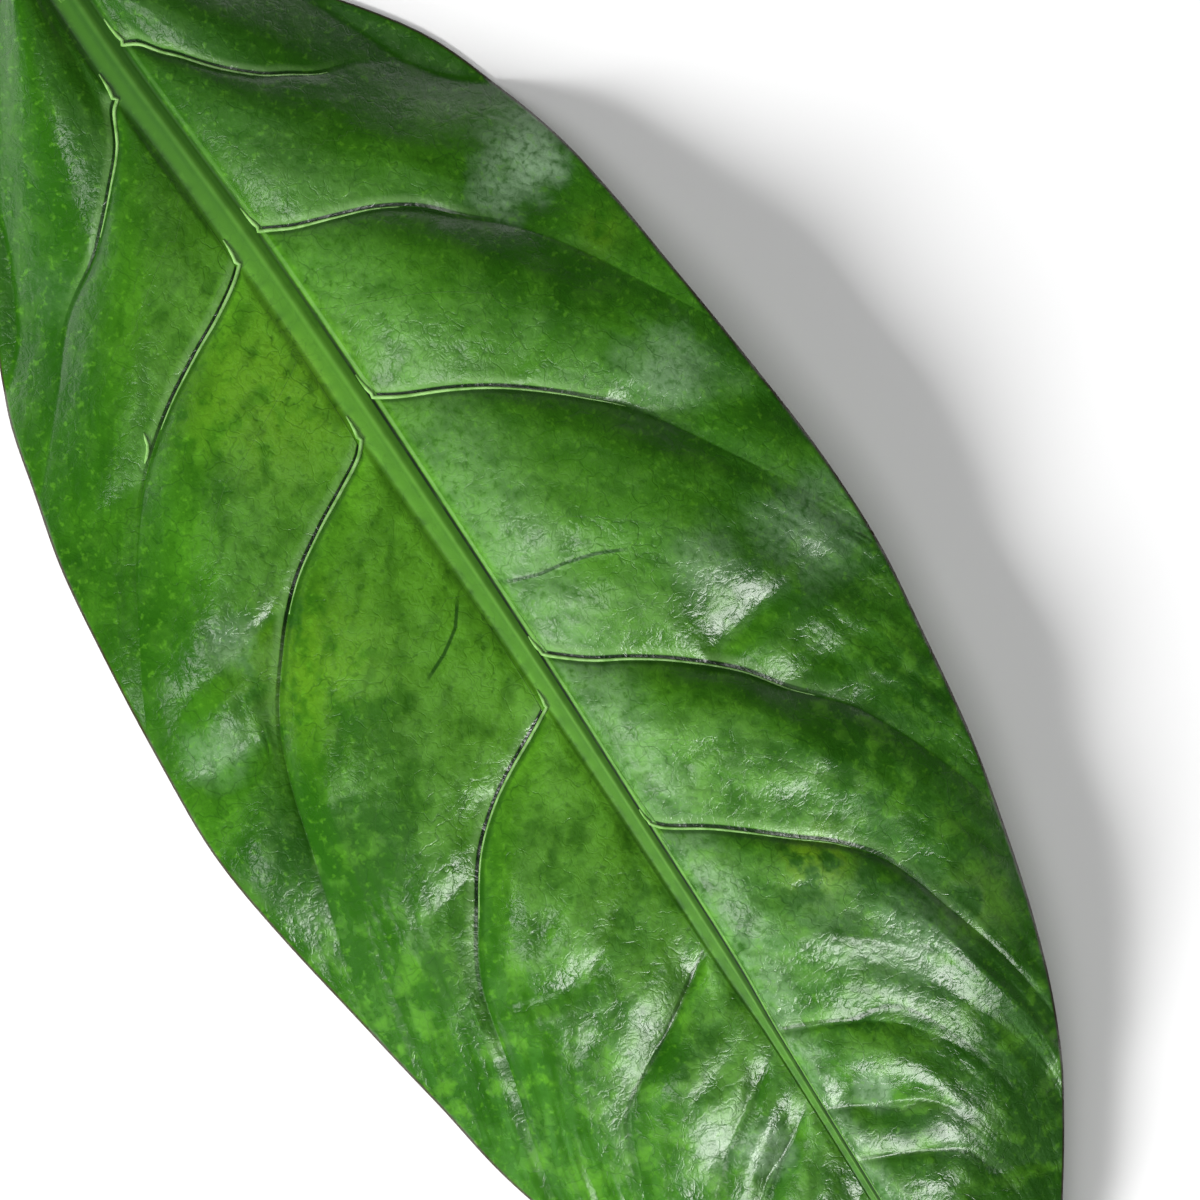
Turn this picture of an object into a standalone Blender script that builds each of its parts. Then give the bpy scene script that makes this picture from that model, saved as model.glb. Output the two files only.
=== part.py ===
"""Anthurium leaf, picked with a short stalk and laid upper side up on a flat surface.

The blade is long and elliptic. It arches like a low bridge: the two margins near its base and the
tip lie on the surface, and the middle stands clear. Pairs of lateral veins leave the raised midrib
and swing towards the tip, and the blade puffs up between them. The right side is +Y, the tip is +X.
"""

import math

import bmesh
import bpy

MM = 0.001

# Blade, in millimetres. Every x is measured from the blade's base along its long axis.
BLADE_LENGTH = 237.0
BLADE_THICKNESS = 0.68
# x, then the right and the left edge's distance from the long axis.
MARGIN = [
    (0.0, 2.5, -0.5),
    (3.0, 5.2, -4.4),
    (7.0, 8.4, -8.6),
    (12.0, 12.7, -12.6),
    (18.0, 18.1, -17.2),
    (25.0, 24.3, -22.0),
    (32.0, 29.9, -26.5),
    (40.0, 35.0, -31.4),
    (50.0, 38.7, -35.9),
    (60.0, 41.4, -38.4),
    (70.0, 42.9, -40.7),
    (82.0, 44.0, -42.2),
    (96.0, 45.3, -43.6),
    (110.0, 46.3, -44.3),
    (124.0, 46.2, -43.0),
    (138.0, 44.4, -40.9),
    (152.0, 42.1, -38.6),
    (164.0, 39.2, -36.8),
    (174.0, 36.3, -33.9),
    (184.0, 32.7, -29.4),
    (193.0, 28.3, -24.4),
    (206.0, 19.6, -16.2),
    (214.0, 13.2, -11.3),
    (222.0, 7.8, -6.9),
    (230.0, 3.3, -3.3),
    (BLADE_LENGTH, 0.1, -1.3),
]
# x and the midrib's distance from the long axis.
MIDRIB_LINE = [
    (0.0, 1.0),
    (74.0, 1.6),
    (112.0, 1.9),
    (137.0, 1.7),
    (162.0, 1.3),
    (192.0, 0.3),
    (206.0, -0.4),
    (BLADE_LENGTH, -0.6),
]

# Heights above the surface: the blade beside the midrib, then both margins.
SPINE_HEIGHT = [
    (0.0, 6.4),
    (12.0, 7.2),
    (49.0, 10.4),
    (74.0, 14.0),
    (99.0, 17.0),
    (124.0, 18.6),
    (149.0, 18.6),
    (174.0, 16.6),
    (193.0, 13.4),
    (206.0, 10.0),
    (220.0, 4.6),
    (229.0, 1.6),
    (233.0, 0.7),
    (BLADE_LENGTH, 0.3),
]
# Below zero, the margin is pressed flat on the surface.
MARGIN_HEIGHT = [
    (0.0, 6.0),
    (12.0, 3.4),
    (25.0, -0.4),
    (34.0, -2.6),
    (43.0, -2.4),
    (53.0, 2.6),
    (64.0, 8.0),
    (76.0, 11.6),
    (94.0, 14.0),
    (130.0, 13.6),
    (160.0, 11.6),
    (185.0, 9.4),
    (205.0, 7.2),
    (222.0, 3.0),
    (BLADE_LENGTH, 0.3),
]
DROOP_POWER = 1.9
CROWN_HEIGHT = 1.9
CROWN_POWER = 0.8
EDGE_WAVE_HEIGHT = 0.7
EDGE_WAVE_LENGTH = 31.0
# The right side is 1 and the left side -1, here and in the functions.
EDGE_WAVE_PHASE = {1: 2.6, -1: 3.6}

# Midrib: x, half its width, its height above the blade and its depth below the blade.
MIDRIB = [
    (0.0, 2.3, 1.1, 1.5),
    (50.0, 2.0, 1.0, 1.3),
    (74.0, 1.9, 0.95, 1.2),
    (100.0, 1.55, 0.85, 1.0),
    (137.0, 1.1, 0.6, 0.8),
    (158.0, 0.95, 0.5, 0.7),
    (168.0, 0.6, 0.35, 0.5),
    (200.0, 0.45, 0.3, 0.4),
    (BLADE_LENGTH, 0.35, 0.2, 0.2),
]

# Lateral veins as plan points (x, distance from the long axis), from the midrib out to the margin.
RIGHT_VEINS = [
    [(20.0, 1.1), (24.4, 6.2), (30.6, 12.1), (35.6, 18.8), (38.8, 27.5), (47.0, 37.7)],
    [(46.2, 1.4), (51.2, 9.4), (55.6, 20.0), (63.8, 29.4), (74.4, 36.2), (90.0, 44.8)],
    [(70.6, 1.6), (76.9, 9.4), (83.8, 21.2), (94.4, 30.6), (106.9, 38.1), (122.0, 46.3)],
    [(110.6, 1.9), (117.5, 11.2), (123.8, 19.4), (130.6, 25.6), (140.6, 32.8), (160.0, 40.2)],
    [(136.0, 1.7), (144.4, 13.1), (150.6, 20.0), (156.9, 24.4), (166.9, 27.4), (186.0, 31.8)],
    [(167.4, 1.2), (171.9, 8.8), (176.9, 15.6), (183.1, 20.0), (203.0, 21.8)],
    [(178.6, 0.9), (185.5, 8.5), (190.6, 11.9), (193.8, 14.4), (212.0, 14.8)],
    [(192.0, 0.3), (199.0, 7.0), (204.0, 11.0), (219.0, 9.6)],
    [(206.0, -0.4), (211.0, 4.5), (226.0, 5.4)],
    [(218.0, -0.5), (222.0, 2.6), (232.0, 2.4)],
]
LEFT_VEINS = [
    [(20.0, 1.1), (25.6, -2.8), (31.2, -6.5), (36.2, -11.9), (43.8, -21.9), (52.5, -30.0),
     (62.0, -38.9)],
    [(49.4, 1.4), (53.1, -3.5), (58.8, -14.4), (65.4, -24.6), (80.6, -35.6), (94.0, -43.4)],
    [(74.4, 1.6), (79.4, -2.5), (86.2, -14.4), (96.9, -23.8), (109.4, -31.2), (119.4, -34.8),
     (140.0, -40.6)],
    [(115.6, 1.9), (120.0, -3.8), (124.4, -11.2), (131.2, -18.1), (144.4, -25.6), (155.6, -29.6),
     (176.0, -33.1)],
    [(154.0, 1.4), (158.1, -5.0), (161.2, -11.2), (164.6, -16.6), (172.0, -21.6), (190.0, -26.2)],
    [(168.6, 1.1), (171.9, -5.6), (175.6, -11.9), (184.0, -18.4), (200.0, -20.0)],
    [(178.6, 0.9), (181.6, -6.2), (185.6, -11.2), (208.0, -15.0)],
    [(190.0, 0.4), (197.0, -7.0), (216.0, -10.3)],
    [(204.0, -0.3), (210.0, -5.0), (224.0, -6.2)],
    [(217.0, -0.5), (221.0, -2.9), (231.0, -3.2)],
]
VEIN_FLANK = 0.8
VEIN_HEIGHT = 0.32
VEIN_DEPTH = 0.3
PUFF_RATIO = 0.085
PUFF_SKEW = 1.12

# Rows and columns of the blade's mesh.
ROW_SPACING = 3.5
SMALLEST_ROW = 0.45
RIB_COLUMNS = [0.0, 0.55, 1.0]
BLADE_COLUMNS = [0.08, 0.18, 0.3, 0.43, 0.57, 0.71, 0.84, 0.93, 1.0]
MERGE_DISTANCE = 0.1

# Stalk: x, distance from the long axis, height of its centre, radius. Its last points are inside
# the midrib.
STALK = [
    (-45.0, -1.4, 3.1, 2.05),
    (-44.0, -1.3, 3.1, 2.05),
    (-32.0, -0.4, 3.4, 1.95),
    (-22.0, 0.2, 4.0, 1.95),
    (-15.0, 0.6, 4.7, 2.15),
    (-10.0, 0.8, 5.3, 2.5),
    (-5.0, 0.9, 5.9, 2.55),
    (0.0, 1.0, 6.3, 2.3),
    (5.0, 1.0, 6.5, 1.9),
    (11.0, 1.0, 6.8, 1.3),
]

LEAF_GREEN = (0.052, 0.195, 0.018, 1.0)
LEAF_ROUGHNESS = 0.34


def smooth(table, x, column=1):
    """Value of a table's column at x, on a smooth curve through its points."""
    last = len(table) - 1
    if x <= table[0][0]:
        return table[0][column]
    if x >= table[last][0]:
        return table[last][column]
    i = max(k for k in range(last) if table[k][0] <= x)

    def slope(k):
        low = max(k - 1, 0)
        high = min(k + 1, last)
        return (table[high][column] - table[low][column]) / (table[high][0] - table[low][0])

    span = table[i + 1][0] - table[i][0]
    f = (x - table[i][0]) / span
    start = table[i][column]
    end = table[i + 1][column]
    return (
        start * (1 + 2 * f) * (1 - f) ** 2
        + slope(i) * span * f * (1 - f) ** 2
        + end * f * f * (3 - 2 * f)
        - slope(i + 1) * span * f * f * (1 - f)
    )


def half_width(x, side):
    """Distance from the midrib to the margin on one side, +1 for the right and -1 for the left."""
    return side * (smooth(MARGIN, x, 1 if side > 0 else 2) - smooth(MIDRIB_LINE, x))


def vein_tables(veins, side):
    """For each vein, x as a function of the share of the way from the midrib to the margin."""
    tables = [[(0.0, 0.0), (1.0, 0.0)]]
    for points in veins:
        table = []
        for x, y in points:
            share = side * (y - smooth(MIDRIB_LINE, x)) / half_width(x, side)
            table.append((min(max(share, 0.0), 1.0), x))
        table[0] = (0.0, points[0][0])
        table[-1] = (1.0, points[-1][0])
        tables.append(table)
    tables.append([(0.0, BLADE_LENGTH), (1.0, BLADE_LENGTH)])
    return tables


VEIN_TABLES = {1: vein_tables(RIGHT_VEINS, 1), -1: vein_tables(LEFT_VEINS, -1)}


def panel_of(start, side):
    """Which panel a row that leaves the midrib at x = start lies in, and how far across it."""
    tables = VEIN_TABLES[side]
    k = max(i for i in range(len(tables) - 1) if tables[i][0][1] <= start + 1e-6)
    here = tables[k][0][1]
    after = tables[k + 1][0][1]
    return k, (start - here) / (after - here)


def row_x(start, side, share):
    """Where the row from x = start has swung to, that share of the way to the margin."""
    k, across = panel_of(start, side)
    tables = VEIN_TABLES[side]
    return (1 - across) * smooth(tables[k], share) + across * smooth(tables[k + 1], share)


def puff_height(start, side, share):
    """How far the blade swells between two lateral veins."""
    k, across = panel_of(start, side)
    tables = VEIN_TABLES[side]
    width = smooth(tables[k + 1], share) - smooth(tables[k], share)
    envelope = 0.55 + 0.45 * math.sin(math.pi * share)
    return PUFF_RATIO * width * envelope * math.sin(math.pi * across**PUFF_SKEW)


def blade_height(x, side, share):
    """Height of the blade's upper face before its veins and puffs."""
    spine = smooth(SPINE_HEIGHT, x)
    droop = (smooth(MARGIN_HEIGHT, x) - spine) * share**DROOP_POWER
    breadth = half_width(x, side) / half_width(BLADE_LENGTH / 2, side)
    crown = CROWN_HEIGHT * breadth * math.sin(math.pi * share**CROWN_POWER)
    wave = EDGE_WAVE_HEIGHT * breadth * share**3 * math.sin(
        math.tau * x / EDGE_WAVE_LENGTH + EDGE_WAVE_PHASE[side]
    )
    return spine + droop + crown + wave


def on_vein(start, side):
    """Whether the row that leaves the midrib at x = start is a lateral vein of that side."""
    return any(abs(start - table[0][1]) < 1e-6 for table in VEIN_TABLES[side][1:-1])


def blade_point(start, column):
    """Plan place, upper height and thickness of the blade's point in a row and a signed column."""
    side = 1 if column >= 0 else -1
    number = abs(column)
    rib = smooth(MIDRIB, start)
    if number < len(RIB_COLUMNS):
        x = start
        rib = min(rib, half_width(x, side) * 0.5)
        across = RIB_COLUMNS[number]
        dome = 1 - across**2
        y = smooth(MIDRIB_LINE, x) + side * rib * across
        z = blade_height(x, side, 0.0) + smooth(MIDRIB, start, 2) * dome
        return x, y, z, BLADE_THICKNESS + (smooth(MIDRIB, start, 2) + smooth(MIDRIB, start, 3)) * dome
    share = BLADE_COLUMNS[number - len(RIB_COLUMNS)]
    x = row_x(start, side, share)
    edge = half_width(x, side)
    rib = min(rib, edge * 0.5)
    y = smooth(MIDRIB_LINE, x) + side * (rib + share * (edge - rib))
    z = blade_height(x, side, share) + puff_height(start, side, share)
    thickness = BLADE_THICKNESS
    if on_vein(start, side):
        fade = 1 - share**4
        z += VEIN_HEIGHT * fade
        thickness += (VEIN_HEIGHT + VEIN_DEPTH) * fade
    return x, y, z, thickness


def row_starts():
    """Where each mesh row leaves the midrib: on every vein, on both its flanks and evenly between."""
    veins = sorted({table[0][1] for side in (1, -1) for table in VEIN_TABLES[side][1:-1]})
    flanks = {vein + offset for vein in veins for offset in (-VEIN_FLANK, VEIN_FLANK)}
    kept = [0.0, *veins, BLADE_LENGTH]
    for flank in sorted(flanks):
        if min(abs(flank - other) for other in [0.0, *veins, BLADE_LENGTH]) >= SMALLEST_ROW:
            kept.append(flank)
    kept.sort()
    rows = []
    for here, after in zip(kept, kept[1:]):
        steps = max(1, round((after - here) / ROW_SPACING))
        rows += [here + (after - here) * step / steps for step in range(steps)]
    return [*rows, BLADE_LENGTH]


def make_blade_mesh():
    """The blade as one closed solid, with the same triangles on its upper and lower face."""
    rows = row_starts()
    columns = len(RIB_COLUMNS) + len(BLADE_COLUMNS) - 1
    bm = bmesh.new()
    bmesh.ops.create_grid(bm, x_segments=len(rows) - 1, y_segments=2 * columns, size=0.5)
    thickness_of = bm.verts.layers.float.new("thickness")
    for vert in bm.verts:
        row = round((vert.co.x + 0.5) * (len(rows) - 1))
        column = round((vert.co.y + 0.5) * 2 * columns) - columns
        x, y, z, thickness = blade_point(rows[row], column)
        vert.co = (x * MM, y * MM, z * MM)
        vert[thickness_of] = thickness * MM
    bmesh.ops.remove_doubles(bm, verts=bm.verts[:], dist=MERGE_DISTANCE * MM)
    bmesh.ops.triangulate(bm, faces=bm.faces[:])
    lower = bmesh.ops.extrude_face_region(bm, geom=bm.faces[:])["geom"]
    for vert in lower:
        if isinstance(vert, bmesh.types.BMVert):
            vert.co.z -= vert[thickness_of]
            vert.co.z = max(vert.co.z, 0.0)
            vert[thickness_of] = 0.0
    for vert in bm.verts:
        vert.co.z = max(vert.co.z, vert[thickness_of])
    bmesh.ops.recalc_face_normals(bm, faces=bm.faces[:])
    mesh = bpy.data.meshes.new("leaf")
    bm.to_mesh(mesh)
    bm.free()
    return mesh


def make_stalk(collection):
    """The stalk as a tapered tube whose end runs inside the midrib, to be joined to the blade."""
    curve = bpy.data.curves.new("stalk_path", "CURVE")
    curve.dimensions = "3D"
    curve.bevel_depth = MM
    curve.bevel_resolution = 3
    curve.use_fill_caps = True
    spline = curve.splines.new("POLY")
    spline.points.add(len(STALK) - 1)
    for point, (x, y, z, radius) in zip(spline.points, STALK):
        point.co = (x * MM, y * MM, z * MM, 1.0)
        point.radius = radius
    tube = bpy.data.objects.new("stalk_path", curve)
    collection.objects.link(tube)
    evaluated = tube.evaluated_get(bpy.context.evaluated_depsgraph_get())
    mesh = bpy.data.meshes.new_from_object(evaluated)
    bm = bmesh.new()
    bm.from_mesh(mesh)
    bmesh.ops.remove_doubles(bm, verts=bm.verts[:], dist=0.01 * MM)
    bmesh.ops.recalc_face_normals(bm, faces=bm.faces[:])
    bm.to_mesh(mesh)
    bm.free()
    stalk = bpy.data.objects.new("stalk", mesh)
    stalk.matrix_world = tube.matrix_world
    collection.objects.link(stalk)
    bpy.data.objects.remove(tube)
    stalk.hide_render = True
    stalk.display_type = "WIRE"
    return stalk


def make_material():
    """Glossy green of a leathery leaf."""
    material = bpy.data.materials.new("leaf_green")
    material.use_nodes = True
    shader = material.node_tree.nodes["Principled BSDF"]
    shader.inputs["Base Color"].default_value = LEAF_GREEN
    shader.inputs["Roughness"].default_value = LEAF_ROUGHNESS
    shader.inputs["Metallic"].default_value = 0.0
    return material


def make_collection(name):
    collection = bpy.data.collections.new(name)
    bpy.context.scene.collection.children.link(collection)
    return collection


def main():
    for old in list(bpy.data.objects):
        bpy.data.objects.remove(old)
    leaf_collection = make_collection("anthurium_leaf")
    joined_collection = make_collection("joined_shapes")
    leaf = bpy.data.objects.new("leaf", make_blade_mesh())
    leaf_collection.objects.link(leaf)
    stalk = make_stalk(joined_collection)
    union = leaf.modifiers.new("stalk_union", "BOOLEAN")
    union.operation = "UNION"
    union.object = stalk
    leaf.data.materials.append(make_material())
    leaf.data.shade_smooth()
    # The origin is under the middle of the leaf's own box.
    corners = [vert.co for shape in (leaf, stalk) for vert in shape.data.vertices]
    for axis in (0, 1):
        middle = (min(co[axis] for co in corners) + max(co[axis] for co in corners)) / 2
        leaf.location[axis] = -middle
        stalk.location[axis] = -middle


main()
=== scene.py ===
import math

import bmesh
import bpy
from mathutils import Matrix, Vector, noise
from mathutils.bvhtree import BVHTree


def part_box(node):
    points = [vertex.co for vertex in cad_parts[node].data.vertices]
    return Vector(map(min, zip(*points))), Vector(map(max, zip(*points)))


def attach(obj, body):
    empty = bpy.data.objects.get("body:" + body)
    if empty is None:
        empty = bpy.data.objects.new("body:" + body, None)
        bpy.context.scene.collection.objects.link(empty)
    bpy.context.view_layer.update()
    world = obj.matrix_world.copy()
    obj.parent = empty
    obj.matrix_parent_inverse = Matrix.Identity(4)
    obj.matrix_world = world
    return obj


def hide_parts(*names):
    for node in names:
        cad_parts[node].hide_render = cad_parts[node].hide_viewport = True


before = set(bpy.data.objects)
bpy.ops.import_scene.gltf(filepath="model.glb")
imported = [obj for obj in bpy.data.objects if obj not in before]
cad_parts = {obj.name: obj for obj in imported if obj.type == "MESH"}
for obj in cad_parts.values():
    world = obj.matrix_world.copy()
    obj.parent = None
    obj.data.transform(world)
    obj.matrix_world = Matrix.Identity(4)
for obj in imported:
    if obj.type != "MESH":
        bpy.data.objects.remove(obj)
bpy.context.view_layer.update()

mm = 0.001
scene = bpy.context.scene
scene.view_settings.view_transform = "Standard"


# Curves through given points

def smoothValue(table, x, column=1):
    last = len(table) - 1
    if x <= table[0][0]:
        return table[0][column]
    if x >= table[last][0]:
        return table[last][column]
    i = 0
    while table[i + 1][0] < x:
        i += 1

    def slopeAt(k):
        low = max(k - 1, 0)
        high = min(k + 1, last)
        return (table[high][column] - table[low][column]) / (table[high][0] - table[low][0])

    span = table[i + 1][0] - table[i][0]
    f = (x - table[i][0]) / span
    a = table[i][column] * (1 + 2 * f) * (1 - f) ** 2
    b = slopeAt(i) * span * f * (1 - f) ** 2
    c = table[i + 1][column] * f * f * (3 - 2 * f)
    d = slopeAt(i + 1) * span * f * f * (1 - f)
    return a + b + c - d


def bell(distance, width):
    return math.exp(-((distance / width) ** 2))


def ramp(value, low, high):
    f = min(max((value - low) / (high - low), 0.0), 1.0)
    return f * f * (3 - 2 * f)


# The leaf's plan and heights, in mm from the blade's base, right margin +Y

leaf = {
    "length": 237.0,
    "thickness": 0.5,
    "rimThickness": 0.3,
    # x, right edge, left edge
    "margin": [
        (0.0, 2.5, -0.5), (3.0, 5.2, -4.4), (7.0, 8.4, -8.6), (12.0, 12.7, -12.6), (18.0, 18.1, -17.2),
        (25.0, 24.3, -22.0), (32.0, 29.9, -26.5), (40.0, 35.0, -31.4), (50.0, 38.7, -35.9),
        (60.0, 41.4, -38.4), (70.0, 42.9, -40.7), (82.0, 44.0, -42.2), (96.0, 45.3, -43.6),
        (110.0, 46.3, -44.3), (124.0, 46.2, -43.0), (138.0, 44.4, -40.9), (152.0, 42.1, -38.6),
        (164.0, 39.2, -36.8), (174.0, 36.3, -33.9), (184.0, 32.7, -29.4), (193.0, 28.3, -24.4),
        (206.0, 19.6, -16.2), (214.0, 13.2, -11.3), (222.0, 7.8, -6.9), (230.0, 3.3, -3.3),
        (237.0, 0.1, -1.3),
    ],
    "midribLine": [
        (0.0, -0.2), (20.0, -0.2), (35.0, 0.5), (50.0, 1.2), (74.0, 1.6), (112.0, 1.9), (137.0, 1.7),
        (162.0, 1.3), (192.0, 0.3), (206.0, -0.4), (237.0, -0.6),
    ],
    "spineHeight": [
        (0.0, 6.4), (12.0, 7.2), (49.0, 10.4), (74.0, 14.0), (99.0, 17.0), (124.0, 18.6), (149.0, 18.6),
        (174.0, 16.6), (193.0, 13.4), (206.0, 10.0), (220.0, 4.6), (229.0, 1.6), (233.0, 0.7), (237.0, 0.3),
    ],
    "marginHeight": [
        (0.0, 6.0), (12.0, 3.4), (25.0, -0.4), (34.0, -2.6), (43.0, -2.4), (53.0, 2.6), (64.0, 8.0),
        (76.0, 11.6), (94.0, 14.0), (130.0, 13.6), (160.0, 11.6), (185.0, 9.4), (205.0, 7.2), (222.0, 3.0),
        (237.0, 0.3),
    ],
    "droopPower": 1.9,
    "crownHeight": 1.9,
    "crownPower": 0.8,
    "waveHeight": 0.7,
    "waveLength": 31.0,
    "wavePhase": {1: 2.6, -1: 3.6},
    "puffRatio": 0.085,
    # x, half width, height above, depth below
    "midrib": [
        (0.0, 2.3, 1.1, 1.5), (50.0, 2.0, 1.0, 1.3), (74.0, 1.9, 0.95, 1.2), (100.0, 1.55, 0.85, 1.0),
        (137.0, 1.1, 0.6, 0.8), (158.0, 0.95, 0.5, 0.7), (168.0, 0.6, 0.35, 0.5), (200.0, 0.45, 0.3, 0.4),
        (237.0, 0.35, 0.2, 0.2),
    ],
}

# Lateral veins as plan points, from where they bend off the midrib out to the margin
rightVeins = [
    [(19.6, 2.1), (20.9, 4.0), (23.1, 5.6), (25.0, 7.3), (28.8, 10.4), (32.5, 14.4), (34.4, 17.5),
     (36.3, 20.6), (38.8, 27.5), (47.0, 37.7)],
    [(48.7, 3.2), (49.4, 4.5), (50.9, 7.3), (52.8, 12.5), (54.7, 17.3), (57.6, 21.8), (61.9, 25.9),
     (66.9, 31.0), (74.4, 36.2), (90.0, 44.8)],
    [(74.0, 3.5), (75.9, 6.5), (78.8, 12.3), (81.6, 16.9), (84.8, 21.0), (88.8, 25.4), (94.4, 30.6),
     (106.9, 38.1), (122.0, 46.3)],
    [(112.2, 3.3), (113.4, 4.4), (116.5, 8.1), (119.1, 12.3), (122.5, 16.9), (128.1, 22.9), (133.1, 26.5),
     (140.6, 32.8), (160.0, 40.2)],
    [(137.2, 2.8), (138.8, 4.1), (142.1, 8.8), (145.0, 12.3), (148.8, 16.6), (152.5, 20.9), (156.9, 24.4),
     (161.5, 26.4), (167.5, 28.1), (186.0, 31.8)],
    [(167.9, 1.8), (169.6, 5.6), (171.9, 10.0), (175.6, 15.0), (183.1, 20.0), (203.0, 21.8)],
    [(179.4, 1.3), (180.6, 3.8), (183.8, 10.0), (185.9, 13.1), (193.0, 17.0), (211.0, 16.0)],
    [(187.0, 1.1), (189.4, 6.3), (191.9, 11.0), (194.4, 14.0), (216.0, 11.7)],
    [(196.5, 0.6), (202.0, 6.5), (206.0, 9.2), (222.0, 7.6)],
    [(207.5, 0.0), (212.0, 4.5), (227.0, 4.8)],
    [(218.5, -0.1), (222.5, 2.6), (232.0, 2.4)],
]
leftVeins = [
    [(25.0, -2.3), (26.3, -3.5), (30.0, -5.5), (33.8, -9.0), (37.5, -12.8), (40.0, -15.6), (44.6, -22.8),
     (50.6, -28.1), (62.0, -38.9)],
    [(50.8, -0.8), (52.5, -2.8), (55.0, -6.9), (57.5, -11.9), (61.5, -18.8), (66.9, -25.6), (74.4, -31.9),
     (81.0, -36.0), (94.0, -43.4)],
    [(77.6, -0.2), (79.4, -1.9), (81.9, -6.3), (84.4, -11.0), (88.4, -17.1), (94.4, -22.9), (103.1, -29.0),
     (119.4, -34.4), (140.0, -40.6)],
    [(118.2, 0.4), (120.0, -2.8), (122.5, -7.8), (125.0, -11.9), (128.8, -16.3), (133.8, -20.0),
     (143.1, -25.6), (155.6, -29.0), (176.0, -33.1)],
    [(154.2, 0.4), (155.6, -1.9), (159.4, -7.5), (161.9, -13.1), (166.3, -18.8), (173.0, -22.0),
     (190.0, -26.2)],
    [(169.2, 0.3), (171.3, -2.5), (175.0, -8.8), (178.0, -13.0), (186.0, -18.6), (200.0, -20.0)],
    [(177.4, 0.2), (180.3, -4.4), (182.5, -9.4), (186.6, -13.2), (208.0, -15.0)],
    [(190.0, -0.2), (197.0, -7.0), (216.0, -10.3)],
    [(204.0, -0.8), (210.0, -5.0), (224.0, -6.2)],
    [(217.0, -1.0), (221.0, -2.9), (231.0, -3.2)],
]


def midribY(x):
    return smoothValue(leaf["midribLine"], x)


def halfWidth(x, side):
    return side * (smoothValue(leaf["margin"], x, 1 if side > 0 else 2) - midribY(x))


def veinTables(veins, side):
    tables = [[(0.0, 0.0), (1.0, 0.0)]]
    for points in veins:
        table = []
        for x, y in points:
            rib = smoothValue(leaf["midrib"], x)
            table.append(((side * (y - midribY(x)) - rib) / (halfWidth(x, side) - rib), x))
        table[0] = (0.0, points[0][0])
        table[-1] = (1.0, points[-1][0])
        tables.append(table)
    tables.append([(0.0, leaf["length"]), (1.0, leaf["length"])])
    return tables


tablesOf = {1: veinTables(rightVeins, 1), -1: veinTables(leftVeins, -1)}


def panelOf(start, side):
    tables = tablesOf[side]
    k = max(i for i in range(len(tables) - 1) if tables[i][0][1] <= start + 1e-6)
    here, after = tables[k][0][1], tables[k + 1][0][1]
    return k, (start - here) / (after - here)


def bladeHeight(x, side, share):
    spine = smoothValue(leaf["spineHeight"], x)
    droop = (smoothValue(leaf["marginHeight"], x) - spine) * share ** leaf["droopPower"]
    breadth = halfWidth(x, side) / halfWidth(leaf["length"] / 2, side)
    crown = leaf["crownHeight"] * breadth * math.sin(math.pi * share ** leaf["crownPower"])
    phase = math.tau * x / leaf["waveLength"] + leaf["wavePhase"][side]
    return spine + droop + crown + leaf["waveHeight"] * breadth * share**3 * math.sin(phase)


# Blade

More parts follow.
